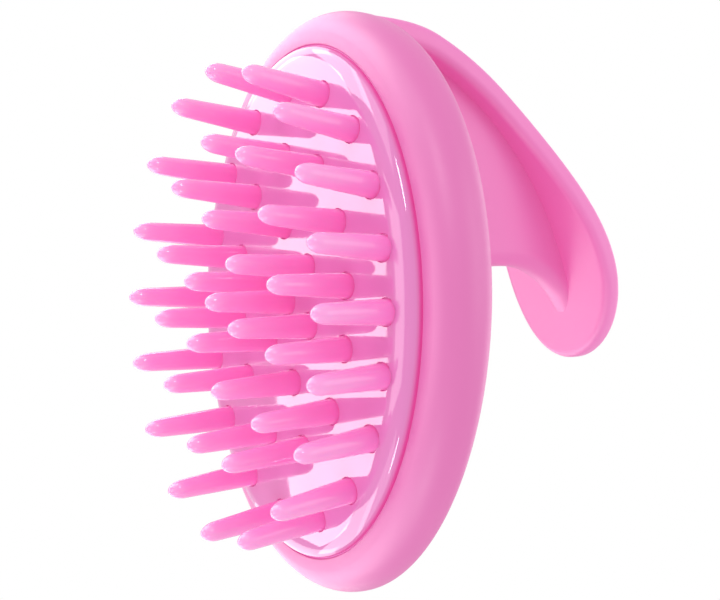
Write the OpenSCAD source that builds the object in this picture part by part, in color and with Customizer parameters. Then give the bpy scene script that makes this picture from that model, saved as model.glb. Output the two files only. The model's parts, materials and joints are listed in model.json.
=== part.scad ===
// Scalp massager brush: an oval bowl with a T-section hook handle on its back
// and silicone fingers that stand out of a domed face plate.
// The brush stands on its finger tips. +Z is up, +Y points to the end where the
// handle leaves the bowl, and the origin is on the ground under the brush's middle.

/* [Bowl] */
// Length of the bowl along Y
bowl_l = 112; // [100:1:124]
// Width of the bowl along X
bowl_w = 81; // [74:1:90]
// Height of the rim's crest above the finger tips
rim_z = 22.6; // [21:0.1:24]
// Height of the bowl's widest section
belly_z = 30; // [29:0.5:32]
// Rise of the back above the widest section
back_rise = 10.7; // [9:0.1:14]
// Lean of the back: how much higher it is towards the handle's root
back_lean = 0.33; // [0:0.01:0.4]
// Width of the rolled rim
rim_w = 6.2; // [5:0.1:7]
// Wall thickness of the bowl
wall = 2.4; // [1.8:0.1:3]

/* [Face plate] */
// Gap between the face plate and the rim
seam = 0.5; // [0.4:0.1:1]
// Radius of the plate's dome
dome_r = 400; // [300:10:800]
// Thickness of the face plate
plate_t = 2; // [1.8:0.1:2.4]
// Width of the plate's rolled border
roll_w = 3.6; // [2.5:0.1:4.5]
// Thickness of the silicone mat behind the plate
mat_t = 1.5; // [1:0.1:2]
// Thickness of the backing plate behind the mat
backing_t = 2; // [1.5:0.1:2.5]
// Number of snap hooks round the face plate
hook_count = 6; // [4:2:8]

/* [Fingers] */
// Length of a finger from the plate to its tip
finger_l = 18; // [16:0.5:20]
// Diameter of a finger at its root
root_d = 4.8; // [4.2:0.1:5.2]
// Diameter of a finger where its round tip starts
tip_d = 3.7; // [3.2:0.1:4.2]
// Length of the round tip
tip_l = 3.4; // [2.5:0.1:4.5]
// Gap between a finger's root and its hole
root_gap = 0.25; // [0.22:0.01:0.4]
// Outward slope of a finger for each millimetre from the middle, along X
splay_x = 0.006; // [0:0.001:0.007]
// Outward slope of a finger for each millimetre from the middle, along Y
splay_y = 0.0037; // [0:0.0001:0.005]

/* [Handle] */
// Thickness of the web
web_t = 7; // [5:0.5:9]
// Thickness of the palm flange
flange_t = 4.6; // [4:0.1:5.2]
// Half width of the flange at its neck
neck_w = 8.4; // [7:0.1:9]
// Half width of the flange's leaf-shaped free end
leaf_w = 15.3; // [13:0.1:17]
// Reach of the free end past its widest place
leaf_l = 20.8; // [19:0.1:22]
// Radius of the arc that the flange's palm side follows
arc_r = 73; // [71:0.1:74]
// Radius of the finger hook's upper curve
hook_r = 19.3; // [18.8:0.1:20.5]

/* [Hidden] */
bowl_a = bowl_w / 2;
bowl_b = bowl_l / 2;
mouth_a = bowl_a - rim_w;
mouth_b = bowl_b - rim_w - 0.9;
plate_a = mouth_a - seam;
plate_b = mouth_b - seam;
plate_z = finger_l;
skirt_top = 27.6;
skirt_t = 2;
ledge_z = 26;
ledge_t = 0.8;
hook_lap = 1.7;
hook_w = 8;
hook_gap = 0.15;
rib_y = 18;
rib_t = 2;
rib_foot_z = 25.4;
brace_gap = 0.5;
foot_gap = 0.2;
sheet_gap = 0.3;
roll_z = plate_z + 1.2;
brace_foot = plate_a - skirt_t - 6;
back_power = 2.69;
oval_steps = 64;
arc_y = bowl_b - arc_r + 2;
arc_z = 23.5;
mid_r = arc_r - flange_t / 2;
root_turn = 17;
root_y = arc_y + mid_r * cos(root_turn);
leaf_y = bowl_b - 48;
neck_y = bowl_b - 14;
scoop_edge_y = 7.2;
scoop_y = scoop_edge_y - hook_r;
scoop_z = 73.8;
scoop_foot_z = 39.2;
scoop_drop = scoop_z - scoop_foot_z;
ball_cut = 1.2;
dome_fn = 360;
cut = 1;
step = 0.01;

// Fingers in each ring, with the ring's half width, half length and turn, the
// drift of its fingers towards the bowl's -X side and its shift along Y
RINGS = [[6, 7.1, 15, 23.5, 0, -0.4], [12, 17.9, 28, 23, 1, 0], [18, 28.6, 40.9, 3, 3, -0.5]];

// A turn of t degrees round a ring, eased so that the fingers are evenly spaced
function eased(t, a, b) = t - (b - a) / (b + a) / 2 * 180 / PI * sin(2 * t);
function ring_spots(r) = [
    for (i = [0:r[0] - 1])
        let (turn = r[3] + 360 * i / r[0])
            let (t = eased(turn + r[4] * sin(turn), r[1], r[2]))
                [r[1] * cos(t), r[2] * sin(t) + r[5]]
];
SPOTS = concat([[0, 0]], [for (r = RINGS) for (p = ring_spots(r)) p]);
FINGERS = [for (i = [1:len(SPOTS)]) str("finger_", i < 10 ? "0" : "", i)];

function dome_z(p) = plate_z + dome_r - sqrt(dome_r * dome_r - p[0] * p[0] - p[1] * p[1]);
function oval(a, b) = [
    for (i = [0:oval_steps - 1]) [a * cos(360 * i / oval_steps), b * sin(360 * i / oval_steps)]
];
function ring_at(a, b, z, lean = 0) = [for (p = oval(a, b)) [p[0], p[1], z + lean * p[1] / bowl_b]];

// Side outline of the bowl's back, from its widest section to its top
function back_ring(a, b, rise, s) =
    let (r = pow(cos(s), 2 / back_power), h = rise * pow(sin(s), 2 / back_power))
        ring_at(a * r, b * r, belly_z + h, back_lean * h);
function rim_ring(s) =
    let (inset = rim_w * (1 - cos(s)), inset_b = (bowl_b - mouth_b) * (1 - cos(s)))
        ring_at(bowl_a - inset, bowl_b - inset_b, belly_z - (belly_z - rim_z) * sin(s));

// A closed solid through a list of rings, lowest first
module loft(rings) {
    n = len(rings[0]);
    m = len(rings);
    sides = [
        for (i = [0:m - 2]) for (j = [0:n - 1])
            [i * n + j, (i + 1) * n + j, (i + 1) * n + (j + 1) % n, i * n + (j + 1) % n]
    ];
    caps = [[for (j = [0:n - 1]) j], [for (j = [n - 1:-1:0]) (m - 1) * n + j]];
    polyhedron([for (r = rings) for (p = r) p], concat(sides, caps), convexity = 4);
}

module bowl_outside() {
    loft(concat(
        [for (s = [90, 72, 54, 36, 18]) rim_ring(s)],
        [for (s = [0, 15, 30, 45, 60, 72, 82]) back_ring(bowl_a, bowl_b, back_rise, s)]
    ));
}

module bowl_inside() {
    a = bowl_a - wall;
    b = bowl_b - wall;
    loft(concat(
        [ring_at(mouth_a, mouth_b, rim_z - cut), ring_at(mouth_a, mouth_b, ledge_z)],
        [ring_at(a - ledge_t, b - ledge_t, ledge_z + step)],
        [for (s = [0, 20, 40, 60, 80]) back_ring(a, b, back_rise - wall, s)]
    ));
}

// Space above the dome's surface, sunk by the given depth
module dome_space(depth) {
    translate([0, 0, plate_z + dome_r])
        sphere(r = dome_r - depth, $fn = dome_fn);
}

module oval_prism(inset, z0, z1) {
    translate([0, 0, z0])
        linear_extrude(height = z1 - z0)
            polygon(oval(plate_a - inset, plate_b - inset));
}

module cross_bars(z0, z1, half) {
    for (y = [-rib_y, rib_y])
        translate([-half, y - rib_t / 2, z0])
            cube([2 * half, rib_t, z1 - z0]);
}

module housing() {
    color("hotpink") {
        difference() {
            bowl_outside();
            bowl_inside();
        }
        // braces across the bowl, with feet inside the face plate's skirt that bear
        // on the backing plate
        intersection() {
            bowl_inside();
            cross_bars(skirt_top + brace_gap, belly_z + back_rise, bowl_a);
        }
        cross_bars(rib_foot_z, belly_z, brace_foot);
    }
}

// A point on the palm flange's middle arc, as [y, z]
function arc_at(r, t) = [arc_y + r * cos(t), arc_z + r * sin(t)];

// Half width of the flange: a leaf-shaped free end that narrows to a neck
function flange_half(y) =
    y > neck_y ? neck_w
    : y > leaf_y
        ? neck_w + (leaf_w - neck_w) * (1 - cos(180 * (neck_y - y) / (neck_y - leaf_y))) / 2
        : leaf_w * sqrt(max(0, 1 - pow((leaf_y - y) / leaf_l, 2)));

// Cross-section of the flange with fully round edges, at point c of its middle
// arc and at turn t; w and h are its half width and half thickness
function flange_ring(c, t, w, h) = [
    for (side = [1, -1]) for (a = [-90:22.5:90])
        let (u = side * (w - h + h * cos(a)), v = side * h * sin(a))
            [u, c[0] + v * cos(t), c[1] + v * sin(t)]
];
function arc_ring(y, h) =
    let (t = acos((y - arc_y) / mid_r))
        flange_ring(arc_at(mid_r, t), t, flange_half(y), h);

module flange() {
    h = flange_t / 2;
    tip_y = leaf_y - leaf_l;
    loft(concat(
        [flange_ring([root_y, belly_z], 0, neck_w, h)],
        [for (y = [root_y:-2.5:tip_y + h]) arc_ring(y, h)],
        [for (e = [80, 60, 40, 20, 8]) arc_ring(tip_y + h * (1 - cos(e)), h * sin(e))]
    ));
}

// Side outline of the web: the arc under the flange, then down into the bowl's
// back, then up the scooped front edge where a finger hooks in
function web_side() = concat(
    [for (t = [84:-3:root_turn]) arc_at(mid_r, t)],
    [[root_y, belly_z], [scoop_y, belly_z]],
    [for (t = [-90:6:-6]) [scoop_y + hook_r * cos(t), scoop_z + scoop_drop * sin(t)]],
    [for (t = [0:6:72]) [scoop_y + hook_r * cos(t), scoop_z + hook_r * sin(t)]]
);

module handle() {
    color("hotpink") difference() {
        union() {
            flange();
            rotate([90, 0, 90])
                linear_extrude(height = web_t, center = true)
                    polygon(web_side());
        }
        bowl_outside();
    }
}

// Puts its children on the dome at spot p, with their +Z along the finger there
module at_spot(p) {
    lean_x = atan(splay_x * p[0]);
    lean_y = atan(splay_y * p[1]);
    translate([p[0], p[1], dome_z(p)])
        rotate([180 + lean_y, 0, 0])
            rotate([0, lean_x, 0])
                children();
}

module snap_hooks() {
    reach = plate_a + hook_lap + seam;
    translate([0, 0, ledge_z + hook_gap])
        linear_extrude(height = skirt_top - ledge_z - hook_gap)
            intersection() {
                difference() {
                    polygon(oval(reach, plate_b + hook_lap + seam));
                    polygon(oval(plate_a - 1, plate_b - 1));
                }
                for (i = [0:hook_count - 1])
                    rotate(360 * (i + 0.5) / hook_count)
                        translate([0, -hook_w / 2])
                            square([bowl_l, hook_w]);
            }
}

module face_plate() {
    bore_r = root_d / 2 + root_gap;
    color("deeppink") difference() {
        union() {
            difference() {
                intersection() {
                    loft(concat(
                        [ring_at(plate_a - roll_w - cut, plate_b - roll_w - cut, plate_z - cut)],
                        [for (t = [0, 20, 40, 60, 80])
                            let (inset = roll_w * (1 - sin(t)), drop = roll_w * (1 - cos(t)))
                                ring_at(plate_a - inset, plate_b - inset, roll_z + drop)],
                        [ring_at(plate_a, plate_b, skirt_top)]
                    ));
                    dome_space(0);
                }
                intersection() {
                    oval_prism(skirt_t, plate_z, skirt_top + cut);
                    dome_space(plate_t);
                }
            }
            snap_hooks();
        }
        for (p = SPOTS)
            at_spot(p)
                cylinder(r = bore_r, h = 4 * plate_t, center = true, $fn = 32);
    }
}

module finger_mat() {
    color("hotpink") difference() {
        intersection() {
            oval_prism(skirt_t + sheet_gap, plate_z, skirt_top);
            dome_space(plate_t);
        }
        dome_space(plate_t + mat_t);
    }
}

module backing_plate() {
    depth = plate_t + mat_t;
    color("pink") {
        difference() {
            intersection() {
                oval_prism(skirt_t + sheet_gap, plate_z, skirt_top);
                dome_space(depth);
            }
            dome_space(depth + backing_t);
        }
        // bars that meet the bowl's braces
        intersection() {
            cross_bars(plate_z, rib_foot_z - foot_gap, brace_foot);
            dome_space(depth + backing_t / 2);
        }
    }
}

// A tapered finger with a round tip, turning about the ball at its root
module finger(i) {
    root_r = root_d / 2;
    tip_r = tip_d / 2;
    body_l = finger_l - tip_l;
    color("deeppink") at_spot(SPOTS[i]) {
        rotate_extrude($fn = 48)
            polygon(concat(
                [[0, 0], [root_r, 0]],
                [for (t = [0:15:75]) [tip_r * cos(t), body_l + tip_l * sin(t)]],
                [[tip_r * cos(84), body_l + tip_l * sin(84)], [0, finger_l]]
            ));
        intersection() {
            sphere(r = root_r, $fn = 48);
            translate([0, 0, -ball_cut])
                cylinder(r = root_r + cut, h = ball_cut, $fn = 48);
        }
    }
}

housing();
handle();
face_plate();
finger_mat();
backing_plate();
for (i = [0:len(FINGERS) - 1])
    finger(i);
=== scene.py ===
import json
import math

import bpy
import numpy as np
from mathutils import Matrix, Vector, geometry


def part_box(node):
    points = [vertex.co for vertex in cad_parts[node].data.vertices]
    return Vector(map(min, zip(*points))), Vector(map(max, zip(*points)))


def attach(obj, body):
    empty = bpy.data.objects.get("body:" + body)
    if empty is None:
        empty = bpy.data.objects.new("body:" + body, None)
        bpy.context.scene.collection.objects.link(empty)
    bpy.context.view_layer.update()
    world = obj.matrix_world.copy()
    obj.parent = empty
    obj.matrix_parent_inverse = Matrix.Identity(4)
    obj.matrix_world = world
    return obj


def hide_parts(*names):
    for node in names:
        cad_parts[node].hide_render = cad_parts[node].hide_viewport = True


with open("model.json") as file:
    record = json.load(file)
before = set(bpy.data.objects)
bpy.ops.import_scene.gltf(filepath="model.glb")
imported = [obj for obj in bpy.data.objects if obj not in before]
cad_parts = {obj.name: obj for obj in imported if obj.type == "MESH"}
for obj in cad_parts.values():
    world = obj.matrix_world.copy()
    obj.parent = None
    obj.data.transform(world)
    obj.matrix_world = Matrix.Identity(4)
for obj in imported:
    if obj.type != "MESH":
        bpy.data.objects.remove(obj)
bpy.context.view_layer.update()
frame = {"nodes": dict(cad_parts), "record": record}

MM = 0.001

# ---------------------------------------------------------------- sizes, in mm


def box_mm(node):
    lo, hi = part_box(node)
    return np.array(lo) / MM, np.array(hi) / MM


# bowl: an oval of half-axes A and B, a rolled rim below its belly and a leaning back above
bowl_lo, bowl_hi = box_mm("housing")
BOWL_A, BOWL_B = bowl_hi[0], bowl_hi[1]
RIM_Z = bowl_lo[2]
BELLY_Z = 30.0
BACK_RISE = 10.7
BACK_LEAN = 0.33
BACK_POWER = 2.69
RIM_W = 6.2
MOUTH_A, MOUTH_B = BOWL_A - RIM_W, BOWL_B - RIM_W - 0.9
LIP = 0.35

# face plate: a shallow dome with a rolled border, and a skirt down into the bowl's mouth
GAP = 0.26
PLATE_A, PLATE_B = MOUTH_A - GAP, MOUTH_B - GAP
PLATE_Z = 18.0
DOME_R = 400.0
ROLL_W = 3.8
ROLL_TOP = 22.6
SKIRT_TOP = 27.4
SKIRT_W = 1.8

# fingers, each in a bore with a bevelled lip, and how they splay with X and Y
FINGER_L = 17.95
BALL_PLAY = 0.03
ROOT_R, TIP_R, TIP_L = 2.4, 1.85, 3.4
BORE_R = ROOT_R + 0.06
BORE_LIP, BEVEL_DEPTH, BORE_DEPTH = 0.14, 0.4, 1.5
SPLAY_X, SPLAY_Y = 0.006, 0.0037

# handle: a palm flange on an arc, and a web with a scooped front edge
FLANGE_T = 4.6
ARC_R = 72.9
MID_R = ARC_R - FLANGE_T / 2
ARC_Y, ARC_Z = BOWL_B - ARC_R + 2, 23.5
ROOT_TURN = math.radians(17)
ROOT_Y = ARC_Y + MID_R * math.cos(ROOT_TURN)
LEAF_W, LEAF_L, NECK_W = 15.3, 20.8, 8.4
LEAF_Y, NECK_Y = BOWL_B - 48, BOWL_B - 14
HOOK_R, SCOOP_DROP = 19.3, 34.6
SCOOP_Y, SCOOP_Z = LEAF_Y - 0.8 - HOOK_R, 73.8
FLANGE_CORNER = 1.6
WEB_T, WEB_ROUND, WEB_END = 7.0, 3.0, -9.0
FILLET, ROOT_FILLET_CUT = 2.6, 1.8
NET_PITCH, NET_DIP = 0.52, 0.08

JOINTS = {j["child"]: j for j in frame["record"]["behaviour"]["joints"]}
FINGERS = sorted(JOINTS)
SPOTS = np.array([JOINTS[f]["pos_m"] for f in FINGERS]) / MM


def dome_z(x, y):
    """Height of the face plate's outer face; the dome bulges down, towards the tips."""
    return PLATE_Z + DOME_R - np.sqrt(DOME_R**2 - x * x - y * y)


# ---------------------------------------------------------------- camera

CAMERA_AT = (-0.2193, -0.0016, -0.1310)
RIGHT = Vector((-0.6039, -0.0135, 0.7969)).normalized()
AHEAD = Vector((0.7969, 0.0066, 0.6040)).normalized()
UP = RIGHT.cross(AHEAD).normalized()
RIGHT = AHEAD.cross(UP)

cam_data = bpy.data.cameras.new("camera")
cam_data.lens = 70.0
cam_data.sensor_width = 36.0
camera = bpy.data.objects.new("camera", cam_data)
turned = Matrix((RIGHT, UP, -AHEAD)).transposed().to_4x4()
camera.matrix_world = Matrix.Translation(CAMERA_AT) @ turned
bpy.context.scene.collection.objects.link(camera)
bpy.context.scene.camera = camera

# ---------------------------------------------------------------- materials


def material(name, base, rough, ior=1.5):
    """A new material, its node tree, its Principled shader and an object-space coordinate."""
    m = bpy.data.materials.new(name)
    m.use_nodes = True
    nt = m.node_tree
    shader = nt.nodes["Principled BSDF"]
    shader.inputs["Base Color"].default_value = (*base, 1)
    shader.inputs["Roughness"].default_value = rough
    shader.inputs["IOR"].default_value = ior
    coords = nt.nodes.new("ShaderNodeTexCoord").outputs["Object"]
    return m, nt, shader, coords


def noise(nt, coords, scale, detail=2.0):
    n = nt.nodes.new("ShaderNodeTexNoise")
    n.inputs["Scale"].default_value = scale
    n.inputs["Detail"].default_value = detail
    n.inputs["Roughness"].default_value = 0.5
    nt.links.new(coords, n.inputs["Vector"])
    return n.outputs["Fac"]


def ramp(nt, value, stops):
    """Colours along a value; the first two stops are the ends."""
    r = nt.nodes.new("ShaderNodeValToRGB")
    r.color_ramp.interpolation = "EASE"
    for i, (at, colour) in enumerate(stops):
        e = r.color_ramp.elements[i] if i < 2 else r.color_ramp.elements.new(at)
        e.position, e.color = at, (*colour, 1)
    nt.links.new(value, r.inputs["Fac"])
    return r.outputs["Color"]


def spread(nt, value, lo, hi, low_in=0.3, high_in=0.7):
    """Maps a range of a value, by default most of a noise's, to lo and hi."""
    r = nt.nodes.new("ShaderNodeMapRange")
    for key, v in zip(("From Min", "From Max", "To Min", "To Max"), (low_in, high_in, lo, hi)):
        r.inputs[key].default_value = v
    nt.links.new(value, r.inputs["Value"])
    return r.outputs["Result"]


def bump(nt, shader, heights, distance, strength):
    b = nt.nodes.new("ShaderNodeBump")
    b.inputs["Strength"].default_value = strength
    b.inputs["Distance"].default_value = distance
    nt.links.new(heights, b.inputs["Height"])
    nt.links.new(b.outputs["Normal"], shader.inputs["Normal"])


def satin_plastic(name, dark, light, painted_glow=0.0):
    """Soft-touch moulded shell: a fine even grain, with slow changes in tone and sheen.

    The painted_glow is painted light: an emission that lightens the surface whatever the lamps do."""
    m, nt, shader, coords = material(name, light, 0.42)
    tone = noise(nt, coords, 24, 2)
    nt.links.new(ramp(nt, tone, [(0.3, dark), (0.7, light)]), shader.inputs["Base Color"])
    nt.links.new(spread(nt, noise(nt, coords, 900, 3), 0.39, 0.46), shader.inputs["Roughness"])
    bump(nt, shader, noise(nt, coords, 2600, 2), 0.00002, 0.2)
    shader.inputs["Specular IOR Level"].default_value = 0.8
    shader.inputs["Emission Color"].default_value = (*light, 1)
    shader.inputs["Emission Strength"].default_value = painted_glow
    return m


def gloss_plastic():
    """Polished face plate: mirror gloss, with a very slow waviness from the mould."""
    m, nt, shader, coords = material("gloss_pink", (0.90, 0.22, 0.60), 0.03)
    tone = noise(nt, coords, 18, 2)
    clean = ramp(nt, tone, [(0.3, (0.88, 0.25, 0.62)), (0.7, (0.90, 0.27, 0.64))])
    axes = nt.nodes.new("ShaderNodeSeparateXYZ")
    nt.links.new(coords, axes.inputs["Vector"])
    # painted shade: the border turns deeper pink where it goes down into the gap, in the rim's
    # shade
    edge = nt.nodes.new("ShaderNodeMix")
    edge.data_type = "RGBA"
    nt.links.new(spread(nt, axes.outputs["Z"], 0, 0.65, 0.0216, 0.0226), edge.inputs["Factor"])
    nt.links.new(clean, edge.inputs["A"])
    edge.inputs["B"].default_value = (0.93, 0.06, 0.40, 1)
    nt.links.new(edge.outputs["Result"], shader.inputs["Base Color"])
    nt.links.new(spread(nt, noise(nt, coords, 400, 2), 0.02, 0.05), shader.inputs["Roughness"])
    bump(nt, shader, noise(nt, coords, 60, 1), 0.00004, 0.2)
    shader.inputs["Specular IOR Level"].default_value = 0.9
    return m


def silicone():
    """Soft silicone: paler towards the tip, deep pink at the root."""
    m, nt, shader, coords = material("silicone_pink", (0.96, 0.16, 0.54), 0.16, 1.43)
    axes = nt.nodes.new("ShaderNodeSeparateXYZ")
    nt.links.new(coords, axes.inputs["Vector"])
    along = spread(nt, axes.outputs["Z"], 0.0, 1.0, 0.0, FINGER_L * MM)
    mixed = nt.nodes.new("ShaderNodeMath")
    mixed.operation = "MULTIPLY_ADD"
    mixed.inputs[1].default_value = 0.06
    nt.links.new(noise(nt, coords, 120, 2), mixed.inputs[0])
    nt.links.new(along, mixed.inputs[2])
    nt.links.new(
        ramp(
            nt,
            mixed.outputs["Value"],
            [
                (0.0, (0.97, 0.20, 0.61)),
                (1.0, (0.98, 0.39, 0.75)),
                (0.3, (0.97, 0.26, 0.66)),
                (0.72, (0.98, 0.33, 0.71)),
            ],
        ),
        shader.inputs["Base Color"],
    )
    nt.links.new(spread(nt, noise(nt, coords, 700, 2), 0.13, 0.19), shader.inputs["Roughness"])
    bump(nt, shader, noise(nt, coords, 260, 1), 0.00002, 0.12)
    shader.inputs["Subsurface Weight"].default_value = 0.25
    shader.inputs["Subsurface Radius"].default_value = (0.003, 0.0008, 0.0018)
    shader.inputs["Subsurface Scale"].default_value = 1.0
    shader.inputs["Coat Weight"].default_value = 0.5
    shader.inputs["Coat Roughness"].default_value = 0.05
    shader.inputs["Sheen Weight"].default_value = 0.2
    shader.inputs["Sheen Roughness"].default_value = 0.3
    # painted light: an even emission that lightens every finger, also those shaded by their
    # neighbours
    shader.inputs["Emission Color"].default_value = (1.0, 0.24, 0.56, 1)
    shader.inputs["Emission Strength"].default_value = 0.11
    return m


def inner_plastic():
    """Plain moulded plastic of the hidden backing plate."""
    m, nt, shader, coords = material("inner_pink", (0.85, 0.42, 0.56), 0.45)
    nt.links.new(
        ramp(
            nt, noise(nt, coords, 60, 3), [(0.3, (0.83, 0.38, 0.53)), (0.7, (0.87, 0.44, 0.58))]
        ),
        shader.inputs["Base Color"],
    )
    bump(nt, shader, noise(nt, coords, 1500, 2), 0.00003, 0.4)
    return m


SATIN = satin_plastic("satin_pink", (0.842, 0.180, 0.512), (0.858, 0.196, 0.530))
# painted light: this copy glows with an emission, which lifts the shade on the walls of the narrow
# gap and of the bores
SATIN_PAINTED_GLOW = satin_plastic("satin_pink_painted_glow", (0.77, 0.250, 0.60), (0.80, 0.280, 0.64), 0.32)
# painted light: a lighter copy of the same plastic for the handle, standing in for light that its
# web and flange don't get
SATIN_PAINTED_LIGHT = satin_plastic("satin_pink_painted_light", (0.960, 0.225, 0.602), (0.975, 0.245, 0.620))
GLOSS, SILICONE, INNER = gloss_plastic(), silicone(), inner_plastic()

# ---------------------------------------------------------------- mesh helpers


def add_mesh(name, verts_mm, faces, mat):
    """A smooth object from vertices in mm."""
    mesh = bpy.data.meshes.new(name)
    points = (np.asarray(verts_mm, float) * MM).tolist()
    mesh.from_pydata(points, [], [list(map(int, f)) for f in faces])
    mesh.validate()
    mesh.update()
    mesh.shade_smooth()
    mesh.materials.append(mat)
    obj = bpy.data.objects.new(name, mesh)
    bpy.context.scene.collection.objects.link(obj)
    return obj


def strips(rings):
    """Vertices and quads of a closed-ring loft."""
    n = len(rings[0])
    faces = []
    for i in range(len(rings) - 1):
        a, b = i * n, (i + 1) * n
        faces += [(a + j, a + (j + 1) % n, b + (j + 1) % n, b + j) for j in range(n)]
    return np.concatenate(rings), faces


# ---------------------------------------------------------------- bowl

AROUND = 240
turn = np.linspace(0, 2 * math.pi, AROUND, endpoint=False)
OVAL = np.stack([np.cos(turn), np.sin(turn)], 1)


def bowl_ring(a, b, z, lean=0.0):
    xy = OVAL * (a, b)
    return np.column_stack([xy, z + lean * xy[:, 1] / BOWL_B])


def back_ring(s):
    r, h = math.cos(s) ** (2 / BACK_POWER), BACK_RISE * math.sin(s) ** (2 / BACK_POWER)
    return bowl_ring(BOWL_A * r, BOWL_B * r, BELLY_Z + h, BACK_LEAN * h)


def rim_ring(s):
    k = 1 - math.cos(s)
    return bowl_ring(
        BOWL_A - (BOWL_A - MOUTH_A) * k,
        BOWL_B - (BOWL_B - MOUTH_B) * k,
        BELLY_Z - (BELLY_Z - RIM_Z) * math.sin(s),
    )


def make_bowl():
    gap_z = RIM_Z + 0.5
    rings = [bowl_ring(MOUTH_A - inset, MOUTH_B - inset, gap_z) for inset in (GAP, 0)]
    # the lip turns from the mouth's wall into the rolled rim
    for s in np.radians(np.linspace(0, 80, 8)):
        k, z = LIP * (1 - math.cos(s)), RIM_Z + LIP * (1 - math.sin(s)) + 0.02
        rings.append(bowl_ring(MOUTH_A + k, MOUTH_B + k, z))
    rings += [rim_ring(s) for s in np.radians(np.linspace(70, 3, 26))]
    # smaller turns at both ends of the back's curve, where its power spreads the rings out
    for start, end, count in ((0, 12, 9), (14, 60, 24), (62, 88.5, 20)):
        rings += [back_ring(s) for s in np.radians(np.linspace(start, end, count))]
    verts, faces = strips(rings)
    last = len(verts) - AROUND
    verts = np.vstack([verts, verts[last:].mean(0)])
    faces += [(last + j, last + (j + 1) % AROUND, len(verts) - 1) for j in range(AROUND)]
    obj = add_mesh("bowl_shell", verts, faces, SATIN)
    obj.data.materials.append(SATIN_PAINTED_GLOW)
    # the faces down in the gap take the copy with the painted glow
    in_gap = 3 * AROUND
    for face in obj.data.polygons[:in_gap]:
        face.material_index = 1
    return obj


def bowl_distance(P):
    """About how far each point is outside the bowl's back."""

    def size(Q):
        h = np.maximum(Q[..., 2] - BELLY_Z, 0) / (1 + BACK_LEAN * Q[..., 1] / BOWL_B)
        rho = np.sqrt((Q[..., 0] / BOWL_A) ** 2 + (Q[..., 1] / BOWL_B) ** 2)
        return (rho**BACK_POWER + (h / BACK_RISE) ** BACK_POWER + 1e-9) ** (1 / BACK_POWER)

    here = size(P)
    e = 0.05
    slope = [(size(P + np.eye(3)[k] * e) - size(P - np.eye(3)[k] * e)) / (2 * e) for k in range(3)]
    return (here - 1) / np.maximum(np.sqrt(sum(g * g for g in slope)), 1e-3)


# ---------------------------------------------------------------- handle


def soft_min(a, b, k):
    """The lower of two distances, with a fillet of size k between their surfaces."""
    h = np.maximum(k - np.abs(a - b), 0) / k
    return np.minimum(a, b) - h * h * k / 4


def arc_distance(P):
    """How far each point is outside the flange's middle arc, and the arc's Y beside it."""
    dy, dz = P[..., 1] - ARC_Y, P[..., 2] - ARC_Z
    r = np.hypot(dy, dz) + 1e-6
    # below its root the arc goes on straight down into the bowl
    inside = soft_min(MID_R - r, ROOT_Y - P[..., 1], 2.0)
    return -inside, ARC_Y + MID_R * dy / r


def flange_distance(P):
    """About how far each point is outside the palm flange."""
    x = np.abs(P[..., 0])
    v, ym = arc_distance(P)
    u = np.clip((NECK_Y - ym) / (NECK_Y - LEAF_Y), 0, 1)
    w = NECK_W + (LEAF_W - NECK_W) * (1 - np.cos(math.pi * u)) / 2
    slope = (LEAF_W - NECK_W) / 2 * math.pi / (NECK_Y - LEAF_Y) * np.sin(math.pi * u)
    side = (x - w) / np.sqrt(1 + slope * slope)
    past = (ym - LEAF_Y) / LEAF_L
    q = np.sqrt((x / LEAF_W) ** 2 + past**2) + 1e-6
    tip = (q - 1) * q / (np.sqrt((x / LEAF_W**2) ** 2 + (past / LEAF_L) ** 2) + 1e-6)
    edge = np.where(ym < LEAF_Y, tip, side) + FLANGE_CORNER
    over = np.abs(v) - FLANGE_T / 2 + FLANGE_CORNER
    outside = np.hypot(np.maximum(edge, 0), np.maximum(over, 0))
    return outside + np.minimum(np.maximum(edge, over), 0) - FLANGE_CORNER


def web_distance(P):
    """About how far each point is outside the web, with its scooped front edge rounded."""
    x, y, z = np.abs(P[..., 0]), P[..., 1], P[..., 2]
    k = np.where(z > SCOOP_Z, HOOK_R, SCOOP_DROP)
    ey, ez = np.maximum(y - SCOOP_Y, 0) / HOOK_R, (z - SCOOP_Z) / k
    e = np.hypot(ey, ez) + 1e-6
    scoop = (1 - e) * e / (np.hypot(ey / HOOK_R, ez / k) + 1e-6)
    d1, d2 = x - WEB_T / 2 + WEB_ROUND, scoop + WEB_ROUND
    outside = np.hypot(np.maximum(d1, 0), np.maximum(d2, 0))
    web = outside + np.minimum(np.maximum(d1, d2), 0) - WEB_ROUND
    return np.maximum(np.maximum(web, arc_distance(P)[0]), WEB_END - y)


def fade(values, start, end):
    """A smooth change from 0 at start to 1 at end."""
    u = np.clip((values - start) / (end - start), 0, 1)
    return u * u * (3 - 2 * u)


def fillet(P):
    """Size of the fillet between the handle and the bowl.

    It gets smaller at the flange's root and fades out at the belly and at the web's toe."""
    y, z = P[..., 1], P[..., 2]
    at_root, off_belly, off_toe = fade(y, 44, 54), fade(z, 31, 35.5), fade(y, WEB_END, WEB_END + 10)
    return 0.04 + (FILLET - ROOT_FILLET_CUT * at_root) * off_belly * off_toe


def gradient(distance, P, e=0.02):
    steps = np.eye(3) * e
    return np.stack([(distance(P + d) - distance(P - d)) / (2 * e) for d in steps], -1)


def settle(distance, P, times):
    """Moves points onto the zero surface of a distance."""
    for _ in range(times):
        g = gradient(distance, P)
        f = np.clip(distance(P), -0.5, 0.5)
        P = P - f[:, None] * g / np.maximum((g * g).sum(1), 0.2)[:, None]
    return P


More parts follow.
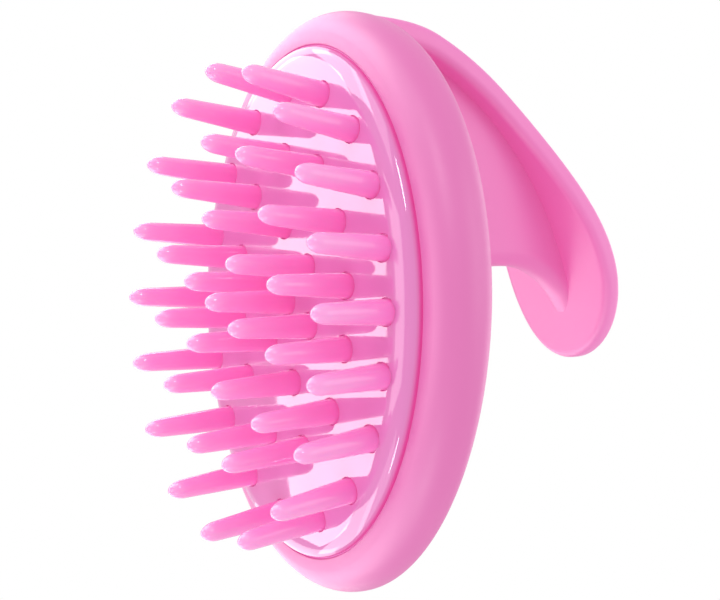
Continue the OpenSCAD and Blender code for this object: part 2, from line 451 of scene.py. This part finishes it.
def surface_net(distance, lo, hi, step):
    """Vertices and quads over the zero surface of a distance, evenly spaced."""
    grid = [np.arange(lo[k], hi[k], step) for k in range(3)]
    inside = distance(np.stack(np.meshgrid(*grid, indexing="ij"), -1)) < 0
    # one vertex in each cell that the surface crosses
    ends = [(slice(0, -1), slice(1, None))[i] for i in (0, 1)]
    count = sum(inside[a, b, c].astype(np.int8) for a in ends for b in ends for c in ends)
    cells = (count > 0) & (count < 8)
    index = np.full(cells.shape, -1)
    index[cells] = np.arange(cells.sum())
    verts = np.array(lo) + (np.argwhere(cells) + 0.5) * step
    quads = []
    for axis, (b, c) in enumerate([(1, 2), (2, 0), (0, 1)]):
        near = np.moveaxis(inside, (axis, b, c), (0, 1, 2))
        cell = np.moveaxis(index, (axis, b, c), (0, 1, 2))
        i, j, k = np.nonzero(near[:-1, 1:-1, 1:-1] != near[1:, 1:-1, 1:-1])
        out = near[:-1, 1:-1, 1:-1][i, j, k]
        q = np.stack([cell[i, j + v, k + w] for v, w in ((0, 0), (1, 0), (1, 1), (0, 1))], 1)
        quads.append(np.where(out[:, None], q, q[:, ::-1]))
    quads = np.vstack(quads)
    verts = settle(distance, verts, 4)
    for _ in range(3):
        total, n = np.zeros_like(verts), np.zeros(len(verts))
        for a, b in ((0, 1), (1, 2), (2, 3), (3, 0)):
            for s, t in ((a, b), (b, a)):
                np.add.at(total, quads[:, s], verts[quads[:, t]])
                np.add.at(n, quads[:, s], 1)
        mean = total / np.maximum(n, 1)[:, None]
        verts = settle(distance, verts + 0.5 * (mean - verts), 2)
    return verts, quads


def handle_half(part, lo, hi):
    """The flange or the web, with the fillet where it runs out on the bowl's back."""

    def shell(P):
        return soft_min(part(P), bowl_distance(P), fillet(P))

    verts, quads = surface_net(shell, lo, hi, NET_PITCH)
    reach = part(verts)
    shown = (reach < 0.02) | (np.abs(reach - bowl_distance(verts)) < fillet(verts))
    quads = quads[shown[quads].any(1)]
    # the last row of the fillet dips just under the bowl's back
    verts = np.where(shown[:, None], verts, verts - NET_DIP * gradient(shell, verts))
    used, quads = np.unique(quads, return_inverse=True)
    return verts[used], quads.reshape(-1, 4)


def make_handle():
    # lowest and highest Y and Z of the nets, then their half-widths
    lo, hi = (-16.0, 30.4), (58.5, 98.5)
    flange, flange_quads = handle_half(flange_distance, (-17.0, *lo), (17.0, *hi))
    web, web_quads = handle_half(web_distance, (-8.0, *lo), (8.0, *hi))
    faces = np.vstack([flange_quads, web_quads + len(flange)])
    # the handle takes the lighter copy of the plastic, which is painted light
    return add_mesh("handle_shell", np.vstack([flange, web]), faces, SATIN_PAINTED_LIGHT)


# ---------------------------------------------------------------- face plate


def splay(p):
    """How far a finger leans with its spot's X and Y."""
    return math.atan(SPLAY_X * p[0]), math.atan(SPLAY_Y * p[1])


def finger_axis(p):
    lx, ly = splay(p)
    return np.array(
        [math.sin(lx), math.sin(ly) * math.cos(lx), -math.cos(ly) * math.cos(lx)]
    )


def in_border(xy, inset):
    """Whether points are inside the face plate's rolled border, by at least the inset."""
    a, b = PLATE_A - ROLL_W - inset, PLATE_B - ROLL_W - inset
    return (xy[..., 0] / a) ** 2 + (xy[..., 1] / b) ** 2 < 1


def nearest_spot(xy):
    """How far points are from the middle of the nearest bore."""
    return np.hypot(xy[..., None, 0] - SPOTS[:, 0], xy[..., None, 1] - SPOTS[:, 1]).min(-1)


def plate_net(edge, circle):
    """Points and triangles of the face inside its border, and where each bore's points start."""
    border, sides = len(edge), len(circle)
    mouth, guard = BORE_R + BORE_LIP, 0.6
    points = list(edge * (PLATE_A - ROLL_W, PLATE_B - ROLL_W))
    edges = [(i, (i + 1) % border) for i in range(border)]
    starts = []
    for p in SPOTS[:, :2]:
        start = len(points)
        starts.append(start)
        points += list(p + circle * mouth)
        edges += [(start + i, start + (i + 1) % sides) for i in range(sides)]
        # a guard ring round each bore keeps the triangles there even
        points += list(p + circle * (mouth + guard))
    pitch = 1.6
    for i, gy in enumerate(np.arange(-PLATE_B, PLATE_B, pitch * 0.866)):
        for gx in np.arange(-PLATE_A, PLATE_A, pitch) + (i % 2) * pitch / 2:
            at = np.array([gx, gy])
            if in_border(at, 0.7) and nearest_spot(at) > mouth + guard + 0.5:
                points.append(at)
    made = geometry.delaunay_2d_cdt([Vector(p) for p in points], edges, [], 0, 1e-5)
    came_from = [i[0] if i else None for i in made[3]]
    added = [list(v) for v, i in zip(made[0], came_from) if i is None]
    flat = np.vstack([points, added or np.zeros((0, 2))])
    extra = iter(range(len(points), len(flat)))
    number = [next(extra) if i is None else i for i in came_from]
    tris = [[number[v] for v in f] for f in made[2]]
    centre = np.array([flat[f].mean(0) for f in tris])
    kept = in_border(centre, 0) & (nearest_spot(centre) > mouth - 0.02)
    return flat, [f[::-1] for f, ok in zip(tris, kept) if ok], starts


def make_plate():
    border, sides = 200, 40
    t = np.linspace(0, 2 * math.pi, border, endpoint=False)
    edge = np.stack([np.cos(t), np.sin(t)], 1)
    c = np.linspace(0, 2 * math.pi, sides, endpoint=False)
    circle = np.stack([np.cos(c), np.sin(c)], 1)
    flat, faces, starts = plate_net(edge, circle)
    verts = [np.column_stack([flat, dome_z(flat[:, 0], flat[:, 1])])]
    count = len(flat)

    def strip(first, ring, flip=False):
        """Joins a new ring of points to the ring that starts at first; returns its start."""
        nonlocal count
        verts.append(ring)
        n = len(ring)
        for i in range(n):
            j = (i + 1) % n
            q = (first + i, first + j, count + j, count + i)
            faces.append(q[::-1] if flip else q)
        count += n
        return count - n

    # rolled border, then the skirt that goes down into the bowl's mouth
    last = 0
    rim_dome = dome_z(edge[:, 0] * PLATE_A, edge[:, 1] * PLATE_B)
    for s in np.radians(np.linspace(6, 90, 15)):
        inset = ROLL_W * (1 - math.sin(s))
        xy = edge * (PLATE_A - inset, PLATE_B - inset)
        rise = (ROLL_TOP - rim_dome) * (1 - math.cos(s))
        last = strip(last, np.column_stack([xy, dome_z(xy[:, 0], xy[:, 1]) + rise]))
    for inset in (0, SKIRT_W):
        xy = edge * (PLATE_A - inset, PLATE_B - inset)
        last = strip(last, np.column_stack([xy, np.full(border, SKIRT_TOP)]))
    # each bore's bevelled lip, where a bent finger leans, then its wall along the finger
    bore_faces = []
    for p, start in zip(SPOTS, starts):
        last = start
        axis = finger_axis(p)
        for k in (0.06, 0.53, 1.0):
            up = BEVEL_DEPTH * k
            xy = p[:2] + axis[:2] / axis[2] * up + circle * (BORE_R + BORE_LIP * (1 - k))
            ring = np.column_stack([xy, dome_z(xy[:, 0], xy[:, 1]) + up])
            last = strip(last, ring, True)
        bore_faces.append(len(faces))
        strip(last, verts[-1] - axis * BORE_DEPTH, True)
    obj = add_mesh("domed_plate", np.vstack(verts), faces, GLOSS)
    obj.data.materials.append(SATIN_PAINTED_GLOW)
    # the bore walls take the copy with the painted glow
    for first in bore_faces:
        for face in obj.data.polygons[first : first + sides]:
            face.material_index = 1
    # the dome is a true sphere, so its normals are exact
    normals = np.array([v.vector for v in obj.data.vertex_normals])
    dome = verts[0] - (0, 0, PLATE_Z + DOME_R)
    normals[: len(dome)] = dome / np.linalg.norm(dome, axis=1)[:, None]
    obj.data.normals_split_custom_set_from_vertices(normals.tolist())
    return obj


# ---------------------------------------------------------------- fingers


def finger_mesh():
    """One finger along +Z, from its root ball at 0 to its tip."""
    body = FINGER_L - TIP_L
    ball = BORE_R - BALL_PLAY
    profile = [(ball * math.cos(s), ball * math.sin(s)) for s in np.radians((-28, -20, -13, -8))]
    # a slightly slimmer neck, clear of the bore's lip when the finger bends
    neck = ((0.04, -0.18), (0.06, 0.02), (0.06, 0.5), (0.05, 1.0))
    profile += [(ROOT_R - slimmer, z) for slimmer, z in neck]
    profile += [(ROOT_R + (TIP_R - ROOT_R) * z / body, z) for z in np.linspace(1.6, body, 12)]
    profile += [
        (TIP_R * math.cos(s) ** 0.96, body + TIP_L * math.sin(s))
        for s in np.radians(np.linspace(7, 86, 13))
    ]
    n = 40
    c = np.linspace(0, 2 * math.pi, n, endpoint=False)
    rings = [np.column_stack([r * np.cos(c), r * np.sin(c), np.full(n, z)]) for r, z in profile]
    verts, faces = strips(rings)
    top = len(verts) - n
    verts = np.vstack([verts, (0, 0, FINGER_L), (0, 0, profile[0][1])])
    faces += [(top + j, top + (j + 1) % n, len(verts) - 2) for j in range(n)]
    faces += [((j + 1) % n, j, len(verts) - 1) for j in range(n)]
    mesh = bpy.data.meshes.new("finger")
    mesh.from_pydata((verts * MM).tolist(), [], [list(f) for f in faces])
    mesh.update()
    mesh.shade_smooth()
    mesh.materials.append(SILICONE)
    return mesh


def make_fingers():
    mesh = finger_mesh()
    for node, p in zip(FINGERS, SPOTS):
        obj = bpy.data.objects.new(node.replace("finger", "soft_finger"), mesh)
        lx, ly = splay(p)
        obj.matrix_world = (
            Matrix.Translation(Vector(p) * MM)
            @ Matrix.Rotation(math.pi + ly, 4, "X")
            @ Matrix.Rotation(lx, 4, "Y")
        )
        bpy.context.scene.collection.objects.link(obj)
        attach(obj, node)
        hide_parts(node)


# ---------------------------------------------------------------- assembly

bowl = make_bowl()
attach(bowl, "brush")
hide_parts("housing")

handle = make_handle()
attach(handle, "brush")
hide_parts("handle")

plate = make_plate()
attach(plate, "brush")
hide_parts("face_plate")

make_fingers()

for node, mat in (("finger_mat", SILICONE), ("backing_plate", INNER)):
    for s in frame["nodes"][node].material_slots:
        s.material = mat

# ---------------------------------------------------------------- floor and light


def make_floor():
    """A plain pale floor under the finger tips, clear from below."""
    half, below = 6.0, 0.0005
    corners = [(x * half, y * half, 0) for x, y in ((-1, -1), (1, -1), (1, 1), (-1, 1))]
    mesh = bpy.data.meshes.new("floor")
    mesh.from_pydata(corners, [], [(0, 1, 2, 3)])
    floor = bpy.data.objects.new("floor", mesh)
    floor.location.z = -below
    m = bpy.data.materials.new("floor")
    m.use_nodes = True
    nt = m.node_tree
    shader, out = nt.nodes["Principled BSDF"], nt.nodes["Material Output"]
    shader.inputs["Base Color"].default_value = (0.45, 0.45, 0.45, 1)
    shader.inputs["Roughness"].default_value = 1.0
    shader.inputs["Specular IOR Level"].default_value = 0.0
    shader.inputs["Emission Color"].default_value = (1, 1, 1, 1)
    shader.inputs["Emission Strength"].default_value = 0.52
    clear = nt.nodes.new("ShaderNodeBsdfTransparent")
    side = nt.nodes.new("ShaderNodeNewGeometry")
    mix = nt.nodes.new("ShaderNodeMixShader")
    nt.links.new(side.outputs["Backfacing"], mix.inputs["Fac"])
    nt.links.new(shader.outputs["BSDF"], mix.inputs[1])
    nt.links.new(clear.outputs["BSDF"], mix.inputs[2])
    nt.links.new(mix.outputs["Shader"], out.inputs["Surface"])
    mesh.materials.append(m)
    bpy.context.scene.collection.objects.link(floor)
    floor.visible_shadow = floor.visible_diffuse = False
    floor.visible_glossy = floor.visible_transmission = False


def softbox(name, at, facing, size, radiance, gloss_only, shape="RECTANGLE"):
    """A flat light that the camera doesn't see; size is its width and height."""
    data = bpy.data.lights.new(name, "AREA")
    data.shape = shape
    data.size, data.size_y = size
    data.energy = radiance * math.pi * size[0] * size[1]
    lamp = bpy.data.objects.new(name, data)
    lamp.location = at
    lamp.rotation_mode = "QUATERNION"
    lamp.rotation_quaternion = Vector(facing).to_track_quat("-Z", "Y")
    bpy.context.scene.collection.objects.link(lamp)
    lamp.visible_camera = False
    lamp.visible_diffuse = not gloss_only


def make_world():
    """White light from all round, and a plain white backdrop for the camera."""
    world = bpy.data.worlds.new("studio")
    world.use_nodes = True
    nt = world.node_tree
    shade, out = nt.nodes["Background"], nt.nodes["World Output"]
    shade.inputs["Color"].default_value = (1, 1, 1, 1)
    shade.inputs["Strength"].default_value = 0.74
    seen = nt.nodes.new("ShaderNodeBackground")
    seen.inputs["Color"].default_value = (1, 1, 1, 1)
    path = nt.nodes.new("ShaderNodeLightPath")
    mix = nt.nodes.new("ShaderNodeMixShader")
    nt.links.new(path.outputs["Is Camera Ray"], mix.inputs["Fac"])
    nt.links.new(shade.outputs["Background"], mix.inputs[1])
    nt.links.new(seen.outputs["Background"], mix.inputs[2])
    nt.links.new(mix.outputs["Shader"], out.inputs["Surface"])
    bpy.context.scene.world = world


make_floor()
make_world()
# The camera looks up from under the floor, which is clear from there, so most lights are below
# it too. Each has a place, the direction it faces, its size, its radiance, whether it shows only
# in gloss, and its outline where that isn't a rectangle.
LIGHTS = {
    "strip": ((0.330, 0, -0.262), (-0.33, 0, 0.292), (0.62, 0.134), 4.3, True),
    "strip_end": ((0.414, 0.215, -0.167), (-0.33, 0, 0.292), (0.19, 0.12), 4.3, True),
    "backdrop": ((0.60, 0.0, 0.0), (-1, 0, 0), (1.1, 0.44), 0.35, True),
    "back_up": ((0.42, 0.36, 0.03), (-0.42, -0.36, 0.0), (0.40, 0.44), 2.5, True),
    "back_low": ((0.42, -0.36, 0.03), (-0.42, 0.36, 0.0), (0.40, 0.44), 1.8, True),
    "top": ((0.20, 0.46, -0.24), (-0.2, -0.46, 0.27), (0.42, 0.40), 3.4, True),
    "bottom": ((0.20, -0.46, -0.24), (-0.2, 0.46, 0.27), (0.42, 0.40), 2.8, True),
    "fill_up": ((-0.10, 0.52, -0.26), (0.1, -0.52, 0.29), (0.45, 0.45), 1.2, False),
    "fill_low": ((-0.10, -0.52, -0.26), (0.1, 0.52, 0.29), (0.45, 0.45), 1.0, False),
    "front": ((-0.05, 0.0, -0.60), (0.05, 0, 0.62), (0.5, 0.5), 1.5, True),
    "front_fill": ((0.0, 0.0, -0.62), (0, 0.01, 1), (0.5, 0.5), 0.35, False),
    "side": ((-0.50, 0.12, 0.42), (0.5, -0.12, -0.36), (0.4, 0.3), 1.15, False),
    "camera_up": ((-0.46, 0.36, -0.16), (0.46, -0.36, 0.19), (0.20, 0.06), 12.0, True, "ELLIPSE"),
    "camera_low": ((-0.30, -0.42, -0.20), (0.3, 0.42, 0.23), (0.15, 0.06), 8.0, True, "ELLIPSE"),
    "overhead": ((0.0, 0.0, 0.75), (0, 0.01, -1), (0.6, 0.6), 0.9, False),
}
for name, light in LIGHTS.items():
    softbox(name, *light)

scene = bpy.context.scene
scene.view_settings.view_transform = "Standard"
scene.view_settings.look = "None"

bpy.context.view_layer.update()
